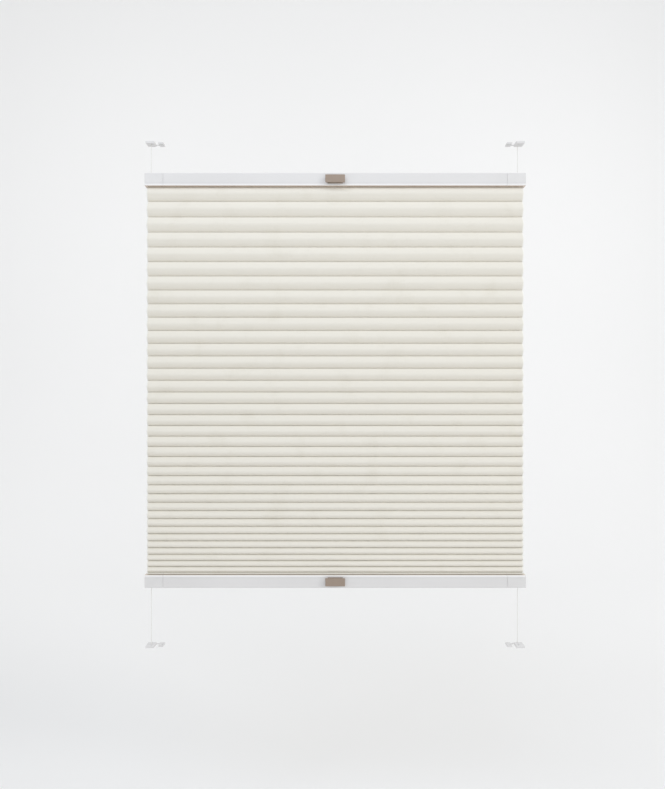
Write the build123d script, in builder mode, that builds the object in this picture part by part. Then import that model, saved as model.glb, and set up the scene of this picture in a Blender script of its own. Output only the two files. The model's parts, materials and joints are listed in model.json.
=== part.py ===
from build123d import *

import os
from math import pi, sqrt

# A honeycomb pleated blind on tensioned cords, in millimetres.
# +Z is up, +X runs along the rails and the room side faces -Y. The origin is the middle of the two screw
# holes of the top shoes, in the plane of the glazing bead that they are screwed to.

os.makedirs("parts", exist_ok=True)

# --- Driving dimensions -------------------------------------------------------------------------------
BEAD_GAP = 814.0  # between the two beads that carry the shoes
RAIL_LENGTH = 610.0  # over both end caps
TOP_RAIL_DROP = 52.3  # upper bead to the top rail's outer face
BOTTOM_RAIL_RISE = 97.4  # lower bead to the bottom rail's outer face

# Rails: distances called "depth into the rail" run from its outer face towards the fabric.
RAIL_HEIGHT = 20.6
RAIL_DEPTH = 24.0
RAIL_WALL = 1.5
RAIL_CORNER = 1.4
LIP_HEIGHT = 1.7  # the two lips that the fabric strip rests on
LIP_GROOVE_AT = 16.6
LIP_GROOVE_HEIGHT = 0.6
LIP_GROOVE_DEPTH = 0.4
WEB_AT = 10.2  # the wall between the cord chamber and the fabric chamber
WEB_THICKNESS = 1.2
FABRIC_SLOT = 12.0

# End caps
CAP_LENGTH = 30.0
CAP_END_WALL = 3.0
CAP_SEAM_WIDTH = 0.7  # a shadow gap where the cap meets the rail
CAP_SEAM_DEPTH = 0.7
CAP_PLUG_LENGTH = 14.0
CAP_PLUG_GAP = 0.15
CAP_ROOF = 1.9
CORD_POCKET_WIDTH = 13.0
CORD_POCKET_FLOOR = 0.9
CORD_POCKET_RUNOUT = 2.5
CAP_POST_RADIUS = 2.2

# Cords, and the eyelets that turn them into the fabric
CORD_RADIUS = 0.5
CORD_GAP = 0.3  # between a cord and the round edge that it turns on
CORD_HOLE_RADIUS = 1.1
CORD_INSET = 9.0  # a shoe's cord, in from the rail's end
CORD_CAP_OFFSET = 4.0  # a cord's place off the rail's centre plane, at its end cap
CORD_FABRIC_INSET = 90.0  # a cord's fabric run, in from the rail's end
CORD_FABRIC_OFFSET = 0.5
EYELET_BORE_RADIUS = CORD_RADIUS + CORD_GAP
EYELET_MOUTH_RADIUS = 2.0
EYELET_FLANGE_RADIUS = 4.0
EYELET_BARREL_RADIUS = 2.3
EYELET_BARREL_REACH = 0.8  # past the web
EYELET_SEAT_GAP = 0.05

# Tension springs, one in each cord's run through the bottom rail
SPRING_COILS = 30
SPRING_WIRE = 1.4
SPRING_RADIUS = 1.7
SPRING_STEM_RADIUS = 0.7
SPRING_STEM_LENGTH = 14.0
SPRING_CENTRE_X = 45.0

# Honeycomb fabric
CELL_COUNT = 37
PITCH_TOP = 25.4  # the cells close up evenly from this pitch at the top rail
TAKE_UP = {"top": 1.1, "bottom": 5.9}  # the end cells are shorter by what their carrier strips take up
BULGE_TO_PITCH = 2.0  # the most that a nearly closed cell bulges
FABRIC_END_GAP = 0.0  # each side, inside the end caps' end walls
CLOTH_THICKNESS = 0.5
GLUE_HALF_WIDTH = 3.4  # of the bonded strip between two cells
BULGE_TOP = 6.8  # a cell's crest beyond the bonded strip
BULGE_BOTTOM = 5.7
FABRIC_HOLE_RADIUS = 1.3

# Carrier strip that holds the fabric in a rail
STRIP_HEAD_WIDTH = 18.0
STRIP_HEAD_THICKNESS = 1.8
STRIP_STEM_WIDTH = 7.0
STRIP_PROUD = {"top": -1.0, "bottom": 0.5}  # stem beyond the rail's lips

# Handle
HANDLE_WIDTH = 31.4
HANDLE_HEIGHT = 12.6
HANDLE_MIDDLE = 11.0  # depth into the rail
HANDLE_REACH = 6.5
HANDLE_PLATE = 1.5  # the foot on the rail and the finger plate
HANDLE_CORNER = 0.8
HANDLE_NECK_WIDTH = 24.0
HANDLE_NECK_HEIGHT = 4.0
HANDLE_PIN_RADIUS = 1.4
HANDLE_PIN_SPACING = 16.0
HANDLE_PIN_AT = 7.0  # depth into the rail
HANDLE_PIN_REACH = 0.8  # past the rail's wall
HANDLE_PIN_GAP = 0.05

# Tension shoes
SCREW_HOLE_RADIUS = 1.8
SCREW_HEAD_RADIUS = 2.9
SCREW_LUG_WIDTH = 8.0
SCREW_LUG_FRONT = 3.8
SCREW_LUG_THICKNESS = 2.6
LUG_FROM_CORD = 14.5  # screw line to cord line
SHOE_BACK = 7.5  # back of the cord block
SHOE_FRONT = 9.0  # front of the cord block
BASE_THICKNESS = 1.2
BASE_BAR_WIDTH = 2.5
BASE_END_FROM_CORD = 8.6
TONGUE_NECK_WIDTH = 8.4
TONGUE_WIDTH = 10.2
TONGUE_GAP = 0.1
TONGUE_SHORT = 1.0  # the tongue stops short of the block's front
BLOCK_WIDTH = 13.6
BLOCK_HEIGHT = 3.8
BLOCK_TOP_GAP = 0.2
BLOCK_FROM_CORD = 1.6  # block's middle beyond the cord line
BLOCK_CHAMFER = 0.6
STOP_RADIUS = 2.0
STOP_HEIGHT = 1.2
STOP_POCKET_RADIUS = 2.3
STOP_FLOOR = 1.1

# --- Places worked out from them ----------------------------------------------------------------------
TOP, BOTTOM = 1, -1
LEFT, RIGHT = -1, 1
END_NAMES = {LEFT: "left", RIGHT: "right"}
LEVEL_NAMES = {TOP: "top", BOTTOM: "bottom"}

RAIL_FACE_Z = {TOP: -TOP_RAIL_DROP, BOTTOM: -BEAD_GAP + BOTTOM_RAIL_RISE}
BEAD_Z = {TOP: 0.0, BOTTOM: -BEAD_GAP}
CORD_X = RAIL_LENGTH / 2 - CORD_INSET
FABRIC_CORD_X = RAIL_LENGTH / 2 - CORD_FABRIC_INSET
CAP_INNER_X = RAIL_LENGTH / 2 - CAP_LENGTH
FABRIC_WIDTH = RAIL_LENGTH - 2 * (CAP_END_WALL + FABRIC_END_GAP)
SCREW_X = CORD_X - LUG_FROM_CORD
BLOCK_X = CORD_X + BLOCK_FROM_CORD
CHAMBER_WIDTH = RAIL_DEPTH - 2 * RAIL_WALL
CHAMBER_BACK = RAIL_HEIGHT - LIP_HEIGHT
FLANGE_THICKNESS = EYELET_MOUTH_RADIUS
EYELET_TURN = EYELET_BORE_RADIUS + EYELET_MOUTH_RADIUS
POST_TURN = CAP_POST_RADIUS + CORD_RADIUS + CORD_GAP
CORD_RUN_DEPTH = WEB_AT - FLANGE_THICKNESS - CORD_RADIUS - CORD_GAP
SPRING_LENGTH = SPRING_COILS * SPRING_WIRE + 2 * SPRING_STEM_LENGTH


def rail_z(level, depth):
    """The height of a point at this depth into a rail."""
    return RAIL_FACE_Z[level] - level * depth


def bead_z(level, depth):
    """The height of a point this far from a bead, towards the blind."""
    return BEAD_Z[level] - level * depth


FABRIC_TOP_Z = rail_z(TOP, RAIL_HEIGHT + STRIP_PROUD["top"])
FABRIC_BOTTOM_Z = rail_z(BOTTOM, RAIL_HEIGHT + STRIP_PROUD["bottom"])
FABRIC_DROP = FABRIC_TOP_Z - FABRIC_BOTTOM_Z
STACK_DROP = FABRIC_DROP + TAKE_UP["top"] + TAKE_UP["bottom"]
PITCH_BOTTOM = 2 * STACK_DROP / CELL_COUNT - PITCH_TOP
PITCH_STEP = (PITCH_TOP - PITCH_BOTTOM) / (CELL_COUNT - 1)


def cell_top_z(i):
    """The top of cell i, and at i = CELL_COUNT the bottom of the last one."""
    below = i * PITCH_TOP - PITCH_STEP * i * (i - 1) / 2 - TAKE_UP["top"]
    return FABRIC_TOP_Z - min(max(below, 0), FABRIC_DROP)


def cell_pitch(i):
    return cell_top_z(i) - cell_top_z(i + 1)


def cell_bulge(i):
    bulge = BULGE_TOP + (BULGE_BOTTOM - BULGE_TOP) * i / (CELL_COUNT - 1)
    return min(bulge, BULGE_TO_PITCH * cell_pitch(i))


def finish(builder, label):
    """Names a finished piece and writes it."""
    builder.part.label = label
    export_step(builder.part, "parts/" + label + ".step")


# --- Rails --------------------------------------------------------------------------------------------
def rail_outline(level):
    """The outer profile of a rail and of its end caps, in the open sketch."""
    with Locations((0, rail_z(level, RAIL_HEIGHT / 2))):
        RectangleRounded(RAIL_DEPTH, RAIL_HEIGHT, RAIL_CORNER)
    groove_z = rail_z(level, LIP_GROOVE_AT + LIP_GROOVE_HEIGHT / 2)
    with Locations((-RAIL_DEPTH / 2, groove_z), (RAIL_DEPTH / 2, groove_z)):
        Rectangle(2 * LIP_GROOVE_DEPTH, LIP_GROOVE_HEIGHT, mode=Mode.SUBTRACT)


def fabric_chamber(level):
    """The chamber for the carrier strip and its slot between the lips, cut from the open sketch."""
    start = WEB_AT + WEB_THICKNESS
    with Locations((0, rail_z(level, (start + CHAMBER_BACK) / 2))):
        Rectangle(CHAMBER_WIDTH, CHAMBER_BACK - start, mode=Mode.SUBTRACT)
    with Locations((0, rail_z(level, RAIL_HEIGHT))):
        Rectangle(FABRIC_SLOT, 2 * LIP_HEIGHT, mode=Mode.SUBTRACT)


def eyelet_place(level, end):
    """Where a cord turns between a rail and the fabric; the end is that of the cord's shoes."""
    return -end * FABRIC_CORD_X, end * CORD_FABRIC_OFFSET, rail_z(level, WEB_AT - FLANGE_THICKNESS)


def handle_pin_places(level):
    """Where a handle's two pins pass through the rail's room side."""
    z = rail_z(level, HANDLE_PIN_AT)
    return (-HANDLE_PIN_SPACING / 2, z), (HANDLE_PIN_SPACING / 2, z)


for level in (TOP, BOTTOM):
    with BuildPart() as rail:
        with BuildSketch(Plane.YZ):
            rail_outline(level)
            with Locations((0, rail_z(level, (RAIL_WALL + WEB_AT) / 2))):
                Rectangle(CHAMBER_WIDTH, WEB_AT - RAIL_WALL, mode=Mode.SUBTRACT)
            fabric_chamber(level)
        extrude(amount=CAP_INNER_X, both=True)
        with BuildSketch(Plane.XY.offset(rail_z(level, WEB_AT + WEB_THICKNESS / 2))):
            with Locations(*[eyelet_place(level, end)[:2] for end in (LEFT, RIGHT)]):
                Circle(EYELET_BARREL_RADIUS + EYELET_SEAT_GAP)
        extrude(amount=WEB_THICKNESS, both=True, mode=Mode.SUBTRACT)
        with BuildSketch(Plane.XZ.offset(RAIL_DEPTH / 2)):
            with Locations(*handle_pin_places(level)):
                Circle(HANDLE_PIN_RADIUS + HANDLE_PIN_GAP)
        extrude(amount=-2 * RAIL_WALL, mode=Mode.SUBTRACT)
    finish(rail, LEVEL_NAMES[level] + "_rail")


# --- End caps: a sleeve in line with the rail, a plug in its cord chamber, and a post that turns the cord
def chamber_band(level, width, outer_depth, inner_depth):
    """A band of the section about the rail's centre plane, in the open sketch."""
    with Locations((0, rail_z(level, (outer_depth + inner_depth) / 2))):
        Rectangle(width, inner_depth - outer_depth)


for level in (TOP, BOTTOM):
    for end in (LEFT, RIGHT):
        inner_face = Plane.YZ.offset(end * CAP_INNER_X)
        plug_end = Plane.YZ.offset(end * (CAP_INNER_X - CAP_PLUG_LENGTH))
        pocket_length = CORD_X + CORD_POCKET_RUNOUT - CAP_INNER_X + CAP_PLUG_LENGTH
        with BuildPart() as cap:
            with BuildSketch(inner_face):
                rail_outline(level)
                fabric_chamber(level)
            extrude(amount=end * (CAP_LENGTH - CAP_END_WALL))
            with BuildSketch(Plane.YZ.offset(end * (RAIL_LENGTH / 2 - CAP_END_WALL))):
                rail_outline(level)
            extrude(amount=end * CAP_END_WALL)
            with BuildSketch(inner_face):
                rail_outline(level)
                with Locations((0, rail_z(level, RAIL_HEIGHT / 2))):
                    Rectangle(
                        RAIL_DEPTH - 2 * CAP_SEAM_DEPTH, RAIL_HEIGHT - 2 * CAP_SEAM_DEPTH, mode=Mode.SUBTRACT
                    )
            extrude(amount=end * CAP_SEAM_WIDTH, mode=Mode.SUBTRACT)
            with BuildSketch(inner_face):
                chamber_band(
                    level,
                    CHAMBER_WIDTH - 2 * CAP_PLUG_GAP,
                    RAIL_WALL + CAP_PLUG_GAP,
                    WEB_AT - CAP_PLUG_GAP,
                )
            extrude(amount=-end * CAP_PLUG_LENGTH)
            with BuildSketch(plug_end):
                chamber_band(level, CORD_POCKET_WIDTH, CAP_ROOF + CAP_PLUG_GAP, WEB_AT - CORD_POCKET_FLOOR)
            extrude(amount=end * pocket_length, mode=Mode.SUBTRACT)
            with BuildSketch(Plane.XZ.offset(-CORD_POCKET_WIDTH / 2)):
                with Locations((end * (CORD_X - POST_TURN), rail_z(level, CORD_RUN_DEPTH - POST_TURN))):
                    Circle(CAP_POST_RADIUS)
            extrude(amount=CORD_POCKET_WIDTH)
            with BuildSketch(Plane.XY.offset(rail_z(level, -1))):
                with Locations((end * CORD_X, end * CORD_CAP_OFFSET)):
                    Circle(CORD_HOLE_RADIUS)
            extrude(amount=-level * (CORD_RUN_DEPTH - POST_TURN + 1), mode=Mode.SUBTRACT)
        finish(cap, LEVEL_NAMES[level] + "_end_cap_" + END_NAMES[end])


# --- Eyelets: a flanged bush in the web, with a rounded mouth for the cord
for level in (TOP, BOTTOM):
    for end in (LEFT, RIGHT):
        x, y, z = eyelet_place(level, end)
        mouth_end = EYELET_BORE_RADIUS + EYELET_MOUTH_RADIUS
        mouth_mid = EYELET_MOUTH_RADIUS * (1 - sqrt(0.5))
        reach = FLANGE_THICKNESS + WEB_THICKNESS + EYELET_BARREL_REACH
        with BuildPart() as eyelet:
            with BuildSketch(Plane(origin=(x, y, z), x_dir=(1, 0, 0), z_dir=(0, -1, 0))):
                with BuildLine():
                    Polyline(
                        (EYELET_BORE_RADIUS, -level * EYELET_MOUTH_RADIUS),
                        (EYELET_BORE_RADIUS, -level * reach),
                        (EYELET_BARREL_RADIUS, -level * reach),
                        (EYELET_BARREL_RADIUS, -level * FLANGE_THICKNESS),
                        (EYELET_FLANGE_RADIUS, -level * FLANGE_THICKNESS),
                        (EYELET_FLANGE_RADIUS, 0),
                        (mouth_end, 0),
                    )
                    ThreePointArc(
                        (mouth_end, 0),
                        (EYELET_BORE_RADIUS + mouth_mid, -level * mouth_mid),
                        (EYELET_BORE_RADIUS, -level * EYELET_MOUTH_RADIUS),
                    )
                make_face()
            revolve(axis=Axis((x, y, z), (0, 0, 1)))
        finish(eyelet, LEVEL_NAMES[level] + "_cord_eyelet_" + END_NAMES[-end])


# --- Carrier strips: a head on the rail's lips and a stem that the fabric is bonded to
def cord_holes(length, plane, radius):
    """Cuts the holes for both cords' fabric runs from the open part."""
    with BuildSketch(plane) as holes:
        with Locations(*[eyelet_place(TOP, end)[:2] for end in (LEFT, RIGHT)]):
            Circle(radius)
    extrude(holes.sketch, amount=-length, mode=Mode.SUBTRACT)


for level in (TOP, BOTTOM):
    stem = STRIP_PROUD[LEVEL_NAMES[level]] + LIP_HEIGHT
    with BuildPart() as strip:
        with BuildSketch(Plane.YZ):
            with Locations((0, rail_z(level, CHAMBER_BACK - STRIP_HEAD_THICKNESS / 2))):
                Rectangle(STRIP_HEAD_WIDTH, STRIP_HEAD_THICKNESS)
            with Locations((0, rail_z(level, CHAMBER_BACK + stem / 2))):
                Rectangle(STRIP_STEM_WIDTH, stem)
        extrude(amount=FABRIC_WIDTH / 2, both=True)
        drill = STRIP_HEAD_THICKNESS + stem
        above = rail_z(level, CHAMBER_BACK) + drill
        cord_holes(2 * drill, Plane.XY.offset(above), FABRIC_HOLE_RADIUS)
    finish(strip, LEVEL_NAMES[level] + "_fabric_strip")


# --- Honeycomb fabric: a row of six-sided cells, bonded to each other along flat strips
def cell_outline(i, inset):
    """A cell's section, moved in by inset from the middle of its cloth."""
    half = cell_pitch(i) / 2
    bulge = cell_bulge(i)
    facet = sqrt(half**2 + bulge**2)
    corner = GLUE_HALF_WIDTH - inset * (half / facet - bulge * (1 - bulge / facet) / half)
    crest = GLUE_HALF_WIDTH + bulge - inset * facet / half
    top = cell_top_z(i)
    middle = top - half
    return [
        (corner, top - inset),
        (crest, middle),
        (corner, middle - half + inset),
        (-corner, middle - half + inset),
        (-crest, middle),
        (-corner, top - inset),
    ]


with BuildPart() as fabric:
    with BuildSketch(Plane.YZ):
        for i in range(CELL_COUNT):
            Polygon(*cell_outline(i, -CLOTH_THICKNESS / 2), align=None)
        for i in range(CELL_COUNT):
            Polygon(*cell_outline(i, CLOTH_THICKNESS / 2), align=None, mode=Mode.SUBTRACT)
        with Locations((0, FABRIC_TOP_Z + CLOTH_THICKNESS), (0, FABRIC_BOTTOM_Z - CLOTH_THICKNESS)):
            Rectangle(4 * GLUE_HALF_WIDTH, 2 * CLOTH_THICKNESS, mode=Mode.SUBTRACT)
    extrude(amount=FABRIC_WIDTH / 2, both=True)
    cord_holes(FABRIC_DROP + 2, Plane.XY.offset(FABRIC_TOP_Z + 1), FABRIC_HOLE_RADIUS)
finish(fabric, "honeycomb_fabric")


# --- Handles: a foot on the rail's room side, a neck, and a finger plate; two pins hold it in the rail
for level in (TOP, BOTTOM):
    middle = (0, rail_z(level, HANDLE_MIDDLE))
    front = RAIL_DEPTH / 2
    with BuildPart() as handle:
        with BuildSketch(Plane.XZ.offset(front + HANDLE_REACH - HANDLE_PLATE)):
            with Locations(middle):
                RectangleRounded(HANDLE_WIDTH, HANDLE_HEIGHT, HANDLE_CORNER)
        extrude(amount=HANDLE_PLATE)
        fillet(handle.faces().sort_by(Axis.Y)[0].edges(), HANDLE_PLATE / 3)
        with BuildSketch(Plane.XZ.offset(front)):
            with Locations(middle):
                Rectangle(HANDLE_NECK_WIDTH, HANDLE_NECK_HEIGHT)
        extrude(amount=HANDLE_REACH - HANDLE_PLATE)
        with BuildSketch(Plane.XZ.offset(front)):
            with Locations(middle):
                Rectangle(HANDLE_NECK_WIDTH, HANDLE_HEIGHT)
        extrude(amount=HANDLE_PLATE)
        with BuildSketch(Plane.XZ.offset(front)):
            with Locations(*handle_pin_places(level)):
                Circle(HANDLE_PIN_RADIUS)
        extrude(amount=-RAIL_WALL - HANDLE_PIN_REACH)
    finish(handle, LEVEL_NAMES[level] + "_handle")


# --- Tension shoes: a base screwed to the bead, and a cord block that slides onto its dovetail tongue
def dovetail(level, x, gap):
    """The tongue's section, grown by gap, in the open sketch."""
    neck = TONGUE_NECK_WIDTH / 2 + gap
    foot = TONGUE_WIDTH / 2 + gap
    Polygon(
        (x - neck, BEAD_Z[level]),
        (x + neck, BEAD_Z[level]),
        (x + foot, bead_z(level, BASE_THICKNESS)),
        (x - foot, bead_z(level, BASE_THICKNESS)),
        align=None,
    )


def slab(plane, x_from, x_to, y_from, y_to, height):
    """Adds a block to the open part, between two places along the rail and two across it."""
    with BuildSketch(plane) as footprint:
        with Locations(((x_from + x_to) / 2, (y_from + y_to) / 2)):
            Rectangle(abs(x_to - x_from), abs(y_to - y_from))
    extrude(footprint.sketch, amount=height)


for level in (TOP, BOTTOM):
    bead = Plane.XY.offset(BEAD_Z[level])
    for end in (LEFT, RIGHT):
        name = LEVEL_NAMES[level] + "_" + END_NAMES[end]
        with BuildPart() as base:
            bar_end = end * (CORD_X + BASE_END_FROM_CORD)
            lug_end = end * (SCREW_X - SCREW_LUG_WIDTH / 2)
            bar_back = SHOE_BACK + BASE_BAR_WIDTH
            slab(bead, bar_end, lug_end, SHOE_BACK, bar_back, -level * BASE_THICKNESS)
            lug_start = lug_end + end * SCREW_LUG_WIDTH
            slab(bead, lug_start, lug_end, -SCREW_LUG_FRONT, bar_back, -level * SCREW_LUG_THICKNESS)
            with BuildSketch(Plane.XZ.offset(-SHOE_BACK)):
                dovetail(level, end * BLOCK_X, 0)
            extrude(amount=SHOE_BACK + SHOE_FRONT - TONGUE_SHORT)
            with BuildSketch(bead):
                with Locations((end * SCREW_X, 0)):
                    Circle(SCREW_HOLE_RADIUS)
            extrude(amount=-level * SCREW_LUG_THICKNESS, mode=Mode.SUBTRACT)
            sink = SCREW_HEAD_RADIUS - SCREW_HOLE_RADIUS
            rim = base.edges().filter_by(GeomType.CIRCLE).sort_by(Axis.Z)[0 if level == TOP else -1]
            chamfer(rim, sink)
        finish(base, "shoe_base_" + name)

        with BuildPart() as block:
            slab(
                Plane.XY.offset(bead_z(level, BLOCK_TOP_GAP)),
                end * BLOCK_X - BLOCK_WIDTH / 2,
                end * BLOCK_X + BLOCK_WIDTH / 2,
                -SHOE_FRONT,
                SHOE_BACK,
                -level * (BLOCK_HEIGHT - BLOCK_TOP_GAP),
            )
            chamfer(block.faces().sort_by(Axis.Z)[0 if level == TOP else -1].edges(), BLOCK_CHAMFER)
            with BuildSketch(Plane.XZ.offset(-SHOE_BACK)):
                dovetail(level, end * BLOCK_X, TONGUE_GAP)
            extrude(amount=SHOE_BACK + SHOE_FRONT - TONGUE_SHORT + TONGUE_GAP, mode=Mode.SUBTRACT)
            with BuildSketch(Plane.XY.offset(bead_z(level, BASE_THICKNESS))):
                with Locations((end * CORD_X, -CORD_CAP_OFFSET), (end * CORD_X, CORD_CAP_OFFSET)):
                    Circle(STOP_POCKET_RADIUS)
            extrude(amount=-level * (BLOCK_HEIGHT - BASE_THICKNESS - STOP_FLOOR), mode=Mode.SUBTRACT)
            with BuildSketch(Plane.XY.offset(bead_z(level, BLOCK_HEIGHT))):
                with Locations((end * CORD_X, -CORD_CAP_OFFSET), (end * CORD_X, CORD_CAP_OFFSET)):
                    Circle(CORD_HOLE_RADIUS)
            extrude(amount=level * STOP_FLOOR, mode=Mode.SUBTRACT)
        finish(block, "cord_block_" + name)

        with BuildPart() as stop:
            with BuildSketch(Plane.XY.offset(bead_z(level, BLOCK_HEIGHT - STOP_FLOOR))):
                with Locations((end * CORD_X, end * CORD_CAP_OFFSET)):
                    Circle(STOP_RADIUS)
            extrude(amount=level * STOP_HEIGHT)
            fillet(stop.edges().sort_by(Axis.Z)[-1 if level == TOP else 0], STOP_RADIUS / 4)
        finish(stop, "cord_stop_" + name)


# --- Cords and springs: each cord runs from a top shoe through the top rail, down the fabric at the other
# --- side, and back through the bottom rail to the shoe below the one that it started from
def run_place(end, x):
    """A cord's place off the centre plane where its run along a rail is at x."""
    start_x, start_y, _ = eyelet_place(TOP, end)
    share = (x - start_x) / (end * CORD_X - start_x)
    return start_y + share * (end * CORD_CAP_OFFSET - start_y)


def cord(label, route, turns):
    """A round cord along straight runs joined by arcs, one radius for each turn."""
    with BuildPart() as tube:
        with BuildLine() as path:
            FilletPolyline(*route, radius=turns)
        with BuildSketch(Plane(origin=path.wire() @ 0, z_dir=path.wire() % 0)):
            Circle(CORD_RADIUS)
        sweep()
    length = path.wire().length
    print(label, "length", round(length, 1), "turns", turns)
    print("  volume over section x length:", round(tube.part.volume / (pi * CORD_RADIUS**2 * length), 5))
    finish(tube, label)


for end in (LEFT, RIGHT):
    eyelet_x, eyelet_y, _ = eyelet_place(TOP, end)
    shoe_xy = (end * CORD_X, end * CORD_CAP_OFFSET)
    top_run = rail_z(TOP, CORD_RUN_DEPTH)
    bottom_run = rail_z(BOTTOM, CORD_RUN_DEPTH)
    near_x = -end * (SPRING_CENTRE_X + SPRING_LENGTH / 2)
    far_x = -end * (SPRING_CENTRE_X - SPRING_LENGTH / 2)
    cord(
        "cord_from_top_" + END_NAMES[end],
        [
            (*shoe_xy, bead_z(TOP, BLOCK_HEIGHT - STOP_FLOOR)),
            (*shoe_xy, top_run),
            (eyelet_x, eyelet_y, top_run),
            (eyelet_x, eyelet_y, bottom_run),
            (near_x, run_place(end, near_x), bottom_run),
        ],
        [POST_TURN, EYELET_TURN, EYELET_TURN],
    )
    cord(
        "cord_to_bottom_" + END_NAMES[end],
        [
            (far_x, run_place(end, far_x), bottom_run),
            (*shoe_xy, bottom_run),
            (*shoe_xy, bead_z(BOTTOM, BLOCK_HEIGHT - STOP_FLOOR)),
        ],
        [POST_TURN],
    )

    centre_x = -end * SPRING_CENTRE_X
    along = Vector(end * CORD_X - eyelet_x, shoe_xy[1] - eyelet_y, 0).normalized()
    print("spring", END_NAMES[end], "slides along", tuple(round(v, 6) for v in along))
    body_half = SPRING_COILS * SPRING_WIRE / 2
    with BuildPart() as spring:
        centre = (centre_x, run_place(end, centre_x), bottom_run)
        with BuildSketch(Plane(origin=centre, x_dir=along, z_dir=(0, 0, 1))):
            with BuildLine():
                Polyline(
                    (-body_half, SPRING_RADIUS - SPRING_WIRE / 2),
                    (-body_half, SPRING_STEM_RADIUS),
                    (-SPRING_LENGTH / 2, SPRING_STEM_RADIUS),
                    (-SPRING_LENGTH / 2, 0),
                    (SPRING_LENGTH / 2, 0),
                    (SPRING_LENGTH / 2, SPRING_STEM_RADIUS),
                    (body_half, SPRING_STEM_RADIUS),
                    (body_half, SPRING_RADIUS - SPRING_WIRE / 2),
                )
                for coil in range(SPRING_COILS):
                    start = -body_half + coil * SPRING_WIRE
                    ThreePointArc(
                        (start, SPRING_RADIUS - SPRING_WIRE / 2),
                        (start + SPRING_WIRE / 2, SPRING_RADIUS),
                        (start + SPRING_WIRE, SPRING_RADIUS - SPRING_WIRE / 2),
                    )
            make_face()
        revolve(axis=Axis(centre, along))
    finish(spring, "tension_spring_" + END_NAMES[end])
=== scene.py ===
import json
import math

import bmesh
import bpy
import numpy as np
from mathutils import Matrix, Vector


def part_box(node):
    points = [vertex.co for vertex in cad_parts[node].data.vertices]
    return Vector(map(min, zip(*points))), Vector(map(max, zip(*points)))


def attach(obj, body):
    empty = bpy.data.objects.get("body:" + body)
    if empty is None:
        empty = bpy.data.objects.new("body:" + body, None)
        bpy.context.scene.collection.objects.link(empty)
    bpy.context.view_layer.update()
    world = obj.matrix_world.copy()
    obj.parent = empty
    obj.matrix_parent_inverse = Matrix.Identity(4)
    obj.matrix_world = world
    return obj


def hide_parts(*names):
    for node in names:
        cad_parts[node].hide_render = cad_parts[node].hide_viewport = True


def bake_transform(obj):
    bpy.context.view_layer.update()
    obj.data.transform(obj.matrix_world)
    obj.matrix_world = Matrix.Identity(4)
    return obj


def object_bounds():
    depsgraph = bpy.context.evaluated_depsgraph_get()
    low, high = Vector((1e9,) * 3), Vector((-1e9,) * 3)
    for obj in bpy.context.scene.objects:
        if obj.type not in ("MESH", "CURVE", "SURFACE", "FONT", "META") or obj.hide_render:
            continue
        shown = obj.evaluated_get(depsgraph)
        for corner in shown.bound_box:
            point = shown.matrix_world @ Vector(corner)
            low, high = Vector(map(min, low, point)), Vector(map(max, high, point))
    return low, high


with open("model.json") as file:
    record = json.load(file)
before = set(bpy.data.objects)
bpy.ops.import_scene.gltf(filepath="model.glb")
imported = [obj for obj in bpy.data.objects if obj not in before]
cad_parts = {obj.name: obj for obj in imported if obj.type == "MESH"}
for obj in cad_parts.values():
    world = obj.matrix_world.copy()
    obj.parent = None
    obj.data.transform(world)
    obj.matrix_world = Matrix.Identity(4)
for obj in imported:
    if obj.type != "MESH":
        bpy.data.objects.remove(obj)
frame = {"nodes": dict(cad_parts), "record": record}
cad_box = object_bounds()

MM = 0.001
TOLERANCE = 1e-6  # coordinates this close are the same
LEVELS = ("top", "bottom")

# --- Places taken from the frame ------------------------------------------------------------------------
rail_low, rail_high = {}, {}
for level in LEVELS:
    rail_low[level], rail_high[level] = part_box(level + "_rail")
FABRIC_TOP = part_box("top_fabric_strip")[0].z
FABRIC_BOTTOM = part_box("bottom_fabric_strip")[1].z
FABRIC_HALF_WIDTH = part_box("honeycomb_fabric")[1].x
BLIND_MIDDLE = (cad_box[0].z + cad_box[1].z) / 2


def centre(node):
    low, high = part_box(node)
    return (low + high) / 2


# --- Camera: level with the blind's middle, square on to it ---------------------------------------------
SENSOR_WIDTH = 36.0
CAMERA_DISTANCE = 1.052  # to the rails' centre plane
FOCAL_SHARE = 0.978  # focal length over the sensor's width
SIDE_SHIFT = -0.0040  # sets the blind a little right of the middle
NEAR_CLIP = 0.01


def make_camera():
    data = bpy.data.cameras.new("camera")
    data.sensor_fit = "HORIZONTAL"
    data.sensor_width = SENSOR_WIDTH
    data.lens = SENSOR_WIDTH * FOCAL_SHARE
    data.shift_x = SIDE_SHIFT
    data.clip_start = NEAR_CLIP
    camera = bpy.data.objects.new("camera", data)
    camera.location = (0, -CAMERA_DISTANCE, BLIND_MIDDLE)
    camera.rotation_euler = (math.radians(90), 0, 0)
    bpy.context.scene.collection.objects.link(camera)
    bpy.context.scene.camera = camera


make_camera()


# --- Studio: a pale floor that curves up into a pale backdrop, and soft lights ----------------------------
FLOOR_DROP = 0.36  # below the blind's lowest point
FLOOR_HALF = 6.0
BACKDROP_RISE = 6.0  # above the top of its curve
SWEEP_FRONT = 1.6
SWEEP_RADIUS = 1.5
SWEEP_STEPS = 24

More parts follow.
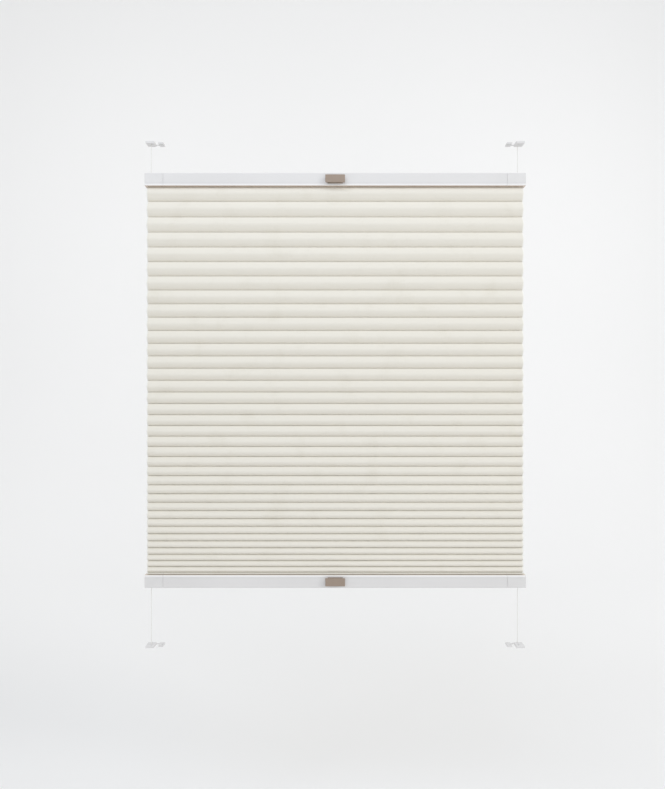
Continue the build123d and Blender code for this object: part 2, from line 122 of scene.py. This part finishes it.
# Each light: name, place and aim from the blind's middle, size, power, colour
LIGHTS = (
    ("key", (2.7, -1.7, 1.55), (0, 0, 0), (1.0, 1.0), 26, (1, 0.985, 0.96)),
    ("top", (-0.35, -0.95, 1.25), (0, 0, 0.35), (1.2, 0.5), 4.9, (0.85, 0.94, 1.09)),
    ("front", (0, -2.6, 0), (0, 0, 0), (2.8, 2.8), 2.7, (0.985, 0.99, 1)),
    ("sweep_left", (-1.7, 0.7, 1.3), (-0.9, 3.1, 1.1), (1.0, 1.8), 8.4, (1, 1, 1)),
    ("sweep_right", (1.7, 0.7, 1.3), (0.9, 3.1, 1.1), (1.0, 1.8), 8.4, (1, 1, 1)),
)
SURROUND_COLOUR = (0.98, 0.99, 1.0, 1)
SURROUND_STRENGTH = 0.755


def link(name, mesh):
    obj = bpy.data.objects.new(name, mesh)
    bpy.context.scene.collection.objects.link(obj)
    return obj


def mesh_from(bm, name):
    """A finished bmesh as a linked object, shaded smooth."""
    for face in bm.faces:
        face.smooth = True
    mesh = bpy.data.meshes.new(name)
    bm.to_mesh(mesh)
    bm.free()
    return link(name, mesh)


NOISE_RANGE = (0.3, 0.7)  # where a noise mostly lies
RGB_SHARE, RGB_FIRST, RGB_SECOND, RGB_RESULT = 0, 6, 7, 2  # a Mix node's sockets for two colours


class Nodes:
    """A material's node tree with short calls for what the finishes below need."""

    def __init__(self, name):
        self.material = bpy.data.materials.new(name)
        self.material.use_nodes = True
        self.tree = self.material.node_tree
        self.shader = self.tree.nodes["Principled BSDF"]
        self.place = self.add("ShaderNodeTexCoord").outputs["Object"]

    def add(self, kind, **values):
        node = self.tree.nodes.new(kind)
        for key, value in values.items():
            setattr(node, key, value)
        return node

    def join(self, source, target):
        self.tree.links.new(source, target)

    def stretched(self, scale):
        """Object coordinates, scaled by a different amount along each axis."""
        mapping = self.add("ShaderNodeMapping")
        self.join(self.place, mapping.inputs["Vector"])
        mapping.inputs["Scale"].default_value = scale
        return mapping.outputs["Vector"]

    def noise(self, scale, detail=3, roughness=0.5, vector=None):
        node = self.add("ShaderNodeTexNoise")
        self.join(vector or self.place, node.inputs["Vector"])
        node.inputs["Scale"].default_value = scale
        node.inputs["Detail"].default_value = detail
        node.inputs["Roughness"].default_value = roughness
        return node.outputs["Fac"]

    def ramp(self, value, dark, light, start=0.35, end=0.7):
        """The dark colour, turning into the light one as the value goes from start to end."""
        node = self.add("ShaderNodeValToRGB")
        self.join(value, node.inputs["Fac"])
        for element, position, colour in zip(node.color_ramp.elements, (start, end), (dark, light)):
            element.position = position
            element.color = (*colour, 1)
        return node.outputs["Color"]

    def spread(self, value, low, high):
        """A noise, spread from low to high."""
        node = self.add("ShaderNodeMapRange")
        self.join(value, node.inputs["Value"])
        node.inputs["From Min"].default_value, node.inputs["From Max"].default_value = NOISE_RANGE
        node.inputs["To Min"].default_value = low
        node.inputs["To Max"].default_value = high
        return node.outputs["Result"]

    def plus(self, first, second, share):
        """first plus share times second."""
        node = self.add("ShaderNodeMath", operation="MULTIPLY_ADD")
        self.join(second, node.inputs[0])
        node.inputs[1].default_value = share
        self.join(first, node.inputs[2])
        return node.outputs["Value"]

    def band(self, axis, middle, half):
        """1 inside a band across an object axis, 0 outside it."""
        split = self.add("ShaderNodeSeparateXYZ")
        self.join(self.place, split.inputs[0])
        node = self.add("ShaderNodeMath", operation="COMPARE")
        self.join(split.outputs[axis], node.inputs[0])
        node.inputs[1].default_value = middle
        node.inputs[2].default_value = half
        return node.outputs["Value"]

    def mix(self, share, first, second):
        """The first colour, turning into the second as the share goes from 0 to 1."""
        node = self.add("ShaderNodeMix", data_type="RGBA")
        self.join(share, node.inputs[RGB_SHARE])
        self.join(first, node.inputs[RGB_FIRST])
        self.join(second, node.inputs[RGB_SECOND])
        return node.outputs[RGB_RESULT]

    def bump(self, height, distance, strength):
        node = self.add("ShaderNodeBump")
        self.join(height, node.inputs["Height"])
        node.inputs["Distance"].default_value = distance
        node.inputs["Strength"].default_value = strength
        self.join(node.outputs["Normal"], self.shader.inputs["Normal"])

    def colour(self, output):
        self.join(output, self.shader.inputs["Base Color"])

    def rough(self, output):
        self.join(output, self.shader.inputs["Roughness"])


def studio_paint():
    n = Nodes("studio_paint")
    tone = n.noise(scale=0.7)
    n.colour(n.ramp(tone, dark=(0.912, 0.91, 0.907), light=(0.922, 0.92, 0.917), start=0.3))
    n.shader.inputs["Roughness"].default_value = 0.9
    return n.material


def make_studio():
    floor_z = cad_box[0].z - FLOOR_DROP
    bm = bmesh.new()
    start = bm.verts.new((-FLOOR_HALF, -FLOOR_HALF, floor_z))
    bend = bm.verts.new((-FLOOR_HALF, SWEEP_FRONT, floor_z))
    bm.edges.new((start, bend))
    turned = bmesh.ops.spin(
        bm,
        geom=[bend],
        cent=(0, SWEEP_FRONT, floor_z + SWEEP_RADIUS),
        axis=(1, 0, 0),
        angle=math.radians(90),
        steps=SWEEP_STEPS,
    )
    top = [v for v in turned["geom_last"] if isinstance(v, bmesh.types.BMVert)][0]
    raised = bmesh.ops.extrude_vert_indiv(bm, verts=[top])
    bmesh.ops.translate(bm, verts=raised["verts"], vec=(0, 0, BACKDROP_RISE))
    wide = bmesh.ops.extrude_edge_only(bm, edges=bm.edges[:])
    moved = [v for v in wide["geom"] if isinstance(v, bmesh.types.BMVert)]
    bmesh.ops.translate(bm, verts=moved, vec=(2 * FLOOR_HALF, 0, 0))
    sweep = mesh_from(bm, "studio_sweep")
    sweep.data.materials.append(studio_paint())


def area_light(name, place, aim, size, power, colour):
    data = bpy.data.lights.new(name, "AREA")
    data.shape = "RECTANGLE"
    data.size, data.size_y = size
    data.energy = power
    data.color = colour
    light = bpy.data.objects.new(name, data)
    light.location = Vector(place) + Vector((0, 0, BLIND_MIDDLE))
    light.rotation_euler = (Vector(aim) - Vector(place)).to_track_quat("-Z", "Y").to_euler()
    bpy.context.scene.collection.objects.link(light)


def make_lights():
    for light in LIGHTS:
        area_light(*light)
    world = bpy.data.worlds.new("studio")
    bpy.context.scene.world = world
    world.use_nodes = True
    background = world.node_tree.nodes["Background"]
    background.inputs["Color"].default_value = SURROUND_COLOUR
    background.inputs["Strength"].default_value = SURROUND_STRENGTH
    bpy.context.scene.view_settings.view_transform = "Standard"


make_studio()
make_lights()


# --- Finishes -------------------------------------------------------------------------------------------
LIP_HIGHLIGHT_HEIGHT = 3.4 * MM  # of the painted highlight band on the lips' faces, from the rail's cloth side to its fine groove
LIP_PAINTED_SHADE_HEIGHT = 0.3 * MM  # of the painted shade, each side of a lip's edge
# Painted light on the rails' lips: a painted highlight band beside the cloth, and painted shade where the
# lips meet it
LIP_PAINTED_HIGHLIGHT = (0.84, 0.835, 0.83)
LIP_PAINTED_SHADE = {"top": (0.68, 0.57, 0.48), "bottom": (0.76, 0.69, 0.61)}
LIP_MOTTLE = 0.02  # how much the lips' colours wander


def cell_cloth():
    """Cream nonwoven cloth: fine crossed fibres with a little mottling."""
    n = Nodes("cell_cloth")
    along = n.noise(scale=900, detail=2, roughness=0.6, vector=n.stretched((0.12, 1, 1)))
    across = n.noise(scale=900, detail=2, roughness=0.6, vector=n.stretched((1, 0.15, 0.15)))
    fibres = n.plus(along, across, share=0.8)
    tone = n.plus(n.noise(scale=26), fibres, share=0.35)
    n.colour(n.ramp(tone, dark=(0.742, 0.708, 0.624), light=(0.80, 0.769, 0.694), end=0.75))
    n.rough(n.spread(fibres, low=0.78, high=0.92))
    n.bump(fibres, distance=0.08 * MM, strength=0.5)
    n.shader.inputs["Sheen Weight"].default_value = 0.15
    n.shader.inputs["Sheen Roughness"].default_value = 0.5
    n.shader.inputs["Specular IOR Level"].default_value = 0.2
    return n.material


def cut_edge_highlight():
    """The cloth's cut edge, paler than the rest of the cloth as a painted highlight."""
    n = Nodes("cut_edge_highlight")
    fibres = n.noise(scale=2600, detail=2)
    n.colour(n.ramp(fibres, dark=(0.86, 0.85, 0.79), light=(0.93, 0.92, 0.87)))
    n.rough(n.spread(fibres, low=0.8, high=0.95))
    n.bump(fibres, distance=0.1 * MM, strength=0.6)
    return n.material


def lighter(colour):
    return [c + LIP_MOTTLE for c in colour]


def with_painted_lip_light(n, colour):
    """The colour, with a painted highlight band on the lips beside the cloth and painted shade where they
    meet it.
    """
    tone = n.noise(scale=9, detail=2)
    painted_highlight = n.ramp(tone, LIP_PAINTED_HIGHLIGHT, lighter(LIP_PAINTED_HIGHLIGHT))
    for level, edge, outwards in (("top", rail_low["top"].z, 1), ("bottom", rail_high["bottom"].z, -1)):
        painted_shade = n.ramp(tone, LIP_PAINTED_SHADE[level], lighter(LIP_PAINTED_SHADE[level]))
        # a painted highlight band on the lip, then painted shade along its edge
        colour = n.mix(n.band("Z", edge + outwards * LIP_HIGHLIGHT_HEIGHT / 2, LIP_HIGHLIGHT_HEIGHT / 2), colour, painted_highlight)
        colour = n.mix(n.band("Z", edge, LIP_PAINTED_SHADE_HEIGHT), colour, painted_shade)
    return colour


def coated_aluminium():
    """White powder coat with a fine orange peel, over faint drawing lines along the extrusion, and painted
    highlight and shade on the lips.
    """
    n = Nodes("coated_aluminium")
    peel = n.noise(scale=1400, detail=2)
    lines = n.noise(scale=600, detail=2, vector=n.stretched((0.008, 1, 1)))
    tone = n.noise(scale=9, detail=2)
    coat = n.ramp(tone, dark=(0.728, 0.718, 0.712), light=(0.756, 0.746, 0.74))
    n.colour(with_painted_lip_light(n, coat))
    n.rough(n.spread(n.noise(scale=60), low=0.42, high=0.52))
    n.bump(n.plus(peel, lines, share=0.7), distance=0.03 * MM, strength=0.4)
    n.shader.inputs["Specular IOR Level"].default_value = 0.35
    return n.material


def moulded_plastic(name, dark, light, roughness, paint_lip_light):
    """Moulded plastic: a spark-eroded grain, and roughness that wanders between two values; where asked,
    painted highlight and shade at the rails' lips.
    """
    n = Nodes(name)
    grain = n.noise(scale=2200, detail=2, roughness=0.6)
    colour = n.ramp(n.noise(scale=38), dark, light)
    n.colour(with_painted_lip_light(n, colour) if paint_lip_light else colour)
    n.rough(n.spread(n.noise(scale=150), *roughness))
    n.bump(grain, distance=0.04 * MM, strength=0.45)
    return n.material


STRAND_SCALE = 500


def braided_cord():
    """White braid: two crossing sets of fine strands."""
    n = Nodes("braided_cord")
    strand_sets = []
    for lay in (1, -1):
        wave = n.add("ShaderNodeTexWave", wave_type="BANDS", bands_direction="DIAGONAL")
        n.join(n.stretched((lay, lay, 1)), wave.inputs["Vector"])
        wave.inputs["Scale"].default_value = STRAND_SCALE
        strand_sets.append(wave.outputs["Fac"])
    strands = n.plus(*strand_sets, share=1)
    n.colour(n.ramp(strands, dark=(0.62, 0.61, 0.58), light=(0.82, 0.81, 0.78), start=0.2, end=0.9))
    n.rough(n.spread(strands, low=0.6, high=0.8))
    n.bump(strands, distance=0.05 * MM, strength=0.6)
    return n.material


def spring_wire():
    """Zinc-plated spring wire, with fine marks round the coils."""
    n = Nodes("spring_wire")
    tone = n.noise(scale=300)
    n.colour(n.ramp(tone, dark=(0.52, 0.53, 0.55), light=(0.66, 0.67, 0.69), start=0.3))
    n.rough(n.spread(n.noise(scale=800, detail=2), low=0.22, high=0.38))
    marks = n.noise(scale=1800, detail=2, vector=n.stretched((1, 0.1, 0.1)))
    n.bump(marks, distance=0.02 * MM, strength=0.5)
    n.shader.inputs["Metallic"].default_value = 1.0
    return n.material


CLOTH = cell_cloth()
CUT_EDGE_HIGHLIGHT = cut_edge_highlight()
FINISH = {
    "white_aluminium": coated_aluminium(),
    "white_plastic": moulded_plastic(
        "white_plastic",
        dark=(0.718, 0.709, 0.702),
        light=(0.754, 0.745, 0.738),
        roughness=(0.42, 0.54),
        paint_lip_light=True,
    ),
    "taupe_plastic": moulded_plastic(
        "taupe_plastic",
        dark=(0.322, 0.252, 0.20),
        light=(0.345, 0.272, 0.218),
        roughness=(0.36, 0.46),
        paint_lip_light=False,
    ),
    "cell_fabric": CLOTH,
    "cord_white": braided_cord(),
    "spring_steel": spring_wire(),
}
for part in frame["record"]["subparts"]:
    mesh = frame["nodes"][part["node"]].data
    mesh.materials.clear()
    mesh.materials.append(FINISH[part["material_slot"]])


# --- Honeycomb cloth: each cell is a tube, bonded to the next along its flat strips ------------------------
CELL_COUNT = 37
UPPER_CELLS = 14  # cells that gather on the top rail as it comes down
PITCH_TOP = 25.4 * MM
TAKE_UP_TOP = 1.1 * MM  # the end cells are shorter by what their carrier strips take up
TAKE_UP_BOTTOM = 5.9 * MM
STRIP_HALF = 3.4 * MM
BULGE_TOP = 7.0 * MM
BULGE_BOTTOM = 5.5 * MM
SAG_BOTTOM = 0.24  # how far a cell's crest hangs below its middle, as a share of half its height
CLOTH_THICKNESS = 0.3 * MM  # between the middles of two bonded walls
WALL_THICKNESS = 0.9 * CLOTH_THICKNESS  # leaves a hair between them
CREASE_TOP = 0.48  # 0 is a round arch, 1 a straight-sided one
CREASE_BOTTOM = 0.2
ARCH_STEPS = 8  # from a cell's strip to its crest
STACKED_PITCH = 4.1 * MM
CORD_X = centre("bottom_cord_eyelet_right").x
CORD_HOLE_HALF = 1.4 * MM
HOLE_CLEARANCE = 4 * CORD_HOLE_HALF  # between a cord's place and the nearest plain station
STATION_GAP = 24 * MM
EDGE_BAND = 1.2 * MM  # the cloth's cut ends, with a painted highlight that makes them paler than the rest

FABRIC_DROP = FABRIC_TOP - FABRIC_BOTTOM
PITCH_BOTTOM = 2 * (FABRIC_DROP + TAKE_UP_TOP + TAKE_UP_BOTTOM) / CELL_COUNT - PITCH_TOP
PITCH_STEP = (PITCH_TOP - PITCH_BOTTOM) / (CELL_COUNT - 1)


def valley_z(i):
    """The bonded strip above cell i; the cells close up evenly from the top down."""
    below = i * PITCH_TOP - PITCH_STEP * i * (i - 1) / 2 - TAKE_UP_TOP
    return FABRIC_TOP - min(max(below, 0), FABRIC_DROP)


valleys = [valley_z(i) for i in range(CELL_COUNT + 1)]
pitches = [upper - lower for upper, lower in zip(valleys, valleys[1:])]
bulges = [BULGE_TOP + (BULGE_BOTTOM - BULGE_TOP) * i / (CELL_COUNT - 1) for i in range(CELL_COUNT)]


def cell_ring(i):
    """The (depth, height) points of one cell's cloth, once round."""
    top = valleys[i] - CLOTH_THICKNESS / 2
    bottom = valleys[i + 1] + CLOTH_THICKNESS / 2
    half = (top - bottom) / 2
    share = i / (CELL_COUNT - 1)
    sag = SAG_BOTTOM * share
    crease = CREASE_TOP + (CREASE_BOTTOM - CREASE_TOP) * share
    front = []
    for k in range(2 * ARCH_STEPS + 1):
        turn = math.pi * k / (2 * ARCH_STEPS)
        lean = -math.cos(turn)
        arch = crease * (1 - abs(lean)) + (1 - crease) * math.sin(turn)
        front.append((-STRIP_HALF - bulges[i] * arch, top - half * (1 + lean + sag * (1 - lean * lean))))
    back = [(-y, z) for y, z in reversed(front)]
    strip = [-CORD_HOLE_HALF, CORD_HOLE_HALF]
    return front + [(y, bottom) for y in strip] + back + [(-y, top) for y in strip]


def stations():
    """Places along the cloth where its section is repeated, with one each side of a cord hole."""
    count = round(2 * FABRIC_HALF_WIDTH / STATION_GAP)
    even = [FABRIC_HALF_WIDTH * (2 * k / count - 1) for k in range(count + 1)]
    holes = [side * CORD_X + edge * CORD_HOLE_HALF for side in (-1, 1) for edge in (-1, 1)]
    keep = [x for x in even if all(abs(x - h) > HOLE_CLEARANCE for h in holes)]
    bands = [side * (FABRIC_HALF_WIDTH - EDGE_BAND) for side in (-1, 1)]
    return sorted(keep + holes + bands)


RIPPLE_HEIGHT = 0.12 * MM
RIPPLE_SHARE = 0.6  # of the shorter wave to the longer one
RIPPLE_WAVES = (31, 67)  # radians for each metre
RIPPLE_STEPS = (2.3, -1.7)  # radians from one cell to the next


def ripple(x, i):
    """How far the crest of cell i stands proud of its mean at x: cloth is never quite straight."""
    long_wave, short_wave = (math.sin(w * x + step * i) for w, step in zip(RIPPLE_WAVES, RIPPLE_STEPS))
    return RIPPLE_HEIGHT * (long_wave + RIPPLE_SHARE * short_wave)


def crosses(edge):
    """Whether an edge runs along the blind's width."""
    return abs(edge.verts[0].co.x - edge.verts[1].co.x) > TOLERANCE


def over_cord_hole(face):
    """Whether a face lies flat in a bonded strip, where a cord passes through."""
    middle = face.calc_center_median()
    heights = [v.co.z for v in face.verts]
    over_cord = abs(abs(middle.x) - CORD_X) < CORD_HOLE_HALF and abs(middle.y) < CORD_HOLE_HALF
    return over_cord and max(heights) - min(heights) < TOLERANCE


def sweep_cells(bm, cells):
    """Draws each cell's ring at the first station and carries it along all the others."""
    xs = stations()
    edges = []
    for i in cells:
        ring = [bm.verts.new((xs[0], y, z)) for y, z in cell_ring(i)]
        edges += [bm.edges.new(pair) for pair in zip(ring, ring[1:] + ring[:1])]
    for x, before in zip(xs[1:], xs):
        made = bmesh.ops.extrude_edge_only(bm, edges=edges)["geom"]
        moved = [g for g in made if isinstance(g, bmesh.types.BMVert)]
        bmesh.ops.translate(bm, verts=moved, vec=(x - before, 0, 0))
        edges = [g for g in made if isinstance(g, bmesh.types.BMEdge) and g.link_faces and not crosses(g)]


def ruffle(bm, cells):
    """Moves each crest in and out a little along its length."""
    for vert in bm.verts:
        reach = abs(vert.co.y) - STRIP_HALF
        if reach > 0:
            i = next(k for k in cells if vert.co.z >= valleys[k + 1])
            swell = ripple(vert.co.x, i) * reach / bulges[i]
            vert.co.y += math.copysign(swell, vert.co.y)


def mark_folds(bm):
    """Keeps the folds along the bonded strips sharp."""
    for edge in bm.edges:
        if crosses(edge) and all(abs(abs(v.co.y) - STRIP_HALF) < TOLERANCE for v in edge.verts):
            edge.smooth = False


# Gives the faces along the cut ends the cut edge's painted highlight
def mark_cut_ends(bm):
    for face in bm.faces:
        if abs(face.calc_center_median().x) > FABRIC_HALF_WIDTH - EDGE_BAND:
            face.material_index = 1


def make_cloth(name, cells):
    bm = bmesh.new()
    sweep_cells(bm, cells)
    bmesh.ops.delete(bm, geom=[f for f in bm.faces if over_cord_hole(f)], context="FACES")
    bmesh.ops.recalc_face_normals(bm, faces=bm.faces[:])
    ruffle(bm, cells)
    mark_folds(bm)
    mark_cut_ends(bm)
    cloth = mesh_from(bm, name)
    cloth.data.materials.append(CLOTH)
    cloth.data.materials.append(CUT_EDGE_HIGHLIGHT)
    wall = cloth.modifiers.new("wall", "SOLIDIFY")
    wall.thickness = WALL_THICKNESS
    wall.offset = 0
    # the wall's rim takes the cut edge's painted highlight too
    wall.material_offset_rim = 1
    return cloth


def hang(cloth, cells, near_rail_first):
    """Works out each cell's share of the gathering as its rail comes inwards, every cell closing to the same
    pitch; the shares are not applied. Bakes the cloth's placing and hides the CAD cloth.
    """
    spare = [max(pitches[i] - STACKED_PITCH, 0) for i in cells]
    total = sum(spare)
    shares = [sum(spare[k:]) / total for k in range(len(spare) + 1)]
    if not near_rail_first:
        shares = [1 - s for s in shares]
    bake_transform(cloth)
    places = np.zeros(len(cloth.data.vertices) * 3)
    cloth.data.vertices.foreach_get("co", places)
    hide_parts("honeycomb_fabric")


upper_cells = list(range(UPPER_CELLS))
lower_cells = list(range(UPPER_CELLS, CELL_COUNT))
for name, rail, cells, near_first in (
    ("upper_cloth", "top_rail", upper_cells, True),
    ("lower_cloth", "bottom_rail", lower_cells, False),
):
    cloth = make_cloth(name, cells)
    hang(cloth, cells, near_first)


# --- Cords: each runs from a top shoe through the top rail, down the cloth at the far side, and back
# --- through the bottom rail and its spring to the shoe below the one that it started from
CORD_RADIUS = 0.5 * MM
CORD_RUN_DEPTH = 7.4 * MM  # from a rail's outer face
TURN = 3.0 * MM  # from a corner of the cord's route to where its bend begins
BEVEL_STEPS = 3
BEND_STEPS = 8
SPLIT_Z = valleys[UPPER_CELLS]  # the strip between the upper and lower cells, where the cords' falls meet


def cord_piece(name, route, node):
    """A stretch of cord along these control points, as a mesh that stands for part of a cord's node."""
    curve = bpy.data.curves.new(name, "CURVE")
    curve.dimensions = "3D"
    curve.bevel_depth = CORD_RADIUS
    curve.bevel_resolution = BEVEL_STEPS
    curve.resolution_u = BEND_STEPS
    spline = curve.splines.new("NURBS")
    spline.points.add(len(route) - 1)
    for point, place in zip(spline.points, route):
        point.co = (*place, 1)
    spline.order_u = 3
    spline.use_endpoint_u = True
    tube = bpy.data.objects.new(name, curve)
    mesh = bpy.data.meshes.new_from_object(tube)
    bpy.data.objects.remove(tube)
    mesh.name = name
    mesh.materials.append(FINISH["cord_white"])
    piece = link(name, mesh)
    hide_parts(node)
    return piece


def toward(place, other, distance):
    """A point this far from one place on the way to another."""
    return place + (other - place).normalized() * distance


def straight(name, node, start, end):
    return cord_piece(name, [start, (start + end) / 2, end], node)


def taut(name, node, start, end):
    """A straight stretch between a place on one body and a place on the other, its placing baked into the
    mesh.
    """
    piece = straight(name, node, start, end)
    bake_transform(piece)


def turn(name, node, body, before, corner, after):
    """A cord's turn round an eyelet or a post."""
    piece = cord_piece(name, [toward(corner, before, TURN), corner, toward(corner, after, TURN)], node)
    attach(piece, body)


for end, far in (("left", "right"), ("right", "left")):
    from_top, to_bottom = "cord_from_top_" + end, "cord_to_bottom_" + end
    top_z = rail_high["top"].z - CORD_RUN_DEPTH
    bottom_z = rail_low["bottom"].z + CORD_RUN_DEPTH
    shoe = centre("cord_stop_top_" + end)
    eyelet = centre("top_cord_eyelet_" + far)
    top_stop = Vector((shoe.x, shoe.y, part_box("cord_stop_top_" + end)[0].z))
    bottom_stop = Vector((shoe.x, shoe.y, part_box("cord_stop_bottom_" + end)[1].z))
    top_post = Vector((shoe.x, shoe.y, top_z))
    bottom_post = Vector((shoe.x, shoe.y, bottom_z))
    top_eyelet = Vector((eyelet.x, eyelet.y, top_z))
    bottom_eyelet = Vector((eyelet.x, eyelet.y, bottom_z))
    split = Vector((eyelet.x, eyelet.y, SPLIT_Z))

    spring_low, spring_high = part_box("tension_spring_" + end)
    along = (bottom_post - bottom_eyelet).normalized()
    spring_half = along * (spring_high.x - spring_low.x) / 2
    spring_middle = (spring_low + spring_high) / 2
    near, beyond = spring_middle - spring_half, spring_middle + spring_half

    arrive = toward(top_post, top_stop, TURN)
    taut("cord_top_tail_" + end, from_top, top_stop, arrive)
    turn("cord_top_post_turn_" + end, from_top, "top_rail", top_stop, top_post, top_eyelet)
    leave, arrive = toward(top_post, top_eyelet, TURN), toward(top_eyelet, top_post, TURN)
    top_run = straight("cord_top_run_" + end, from_top, leave, arrive)
    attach(top_run, "top_rail")
    turn("cord_top_eyelet_turn_" + end, from_top, "top_rail", top_post, top_eyelet, bottom_eyelet)
    for part, rail, place in (("upper", "top_rail", top_eyelet), ("lower", "bottom_rail", bottom_eyelet)):
        taut(f"cord_{part}_fall_{end}", from_top, split, toward(place, split, TURN))
    turn("cord_bottom_eyelet_turn_" + end, from_top, "bottom_rail", top_eyelet, bottom_eyelet, bottom_post)
    leave = toward(bottom_eyelet, bottom_post, TURN)
    taut("cord_near_run_" + end, from_top, leave, near)
    arrive = toward(bottom_post, bottom_eyelet, TURN)
    taut("cord_far_run_" + end, to_bottom, arrive, beyond)
    turn("cord_bottom_post_turn_" + end, to_bottom, "bottom_rail", bottom_eyelet, bottom_post, bottom_stop)
    leave = toward(bottom_post, bottom_stop, TURN)
    taut("cord_bottom_tail_" + end, to_bottom, bottom_stop, leave)
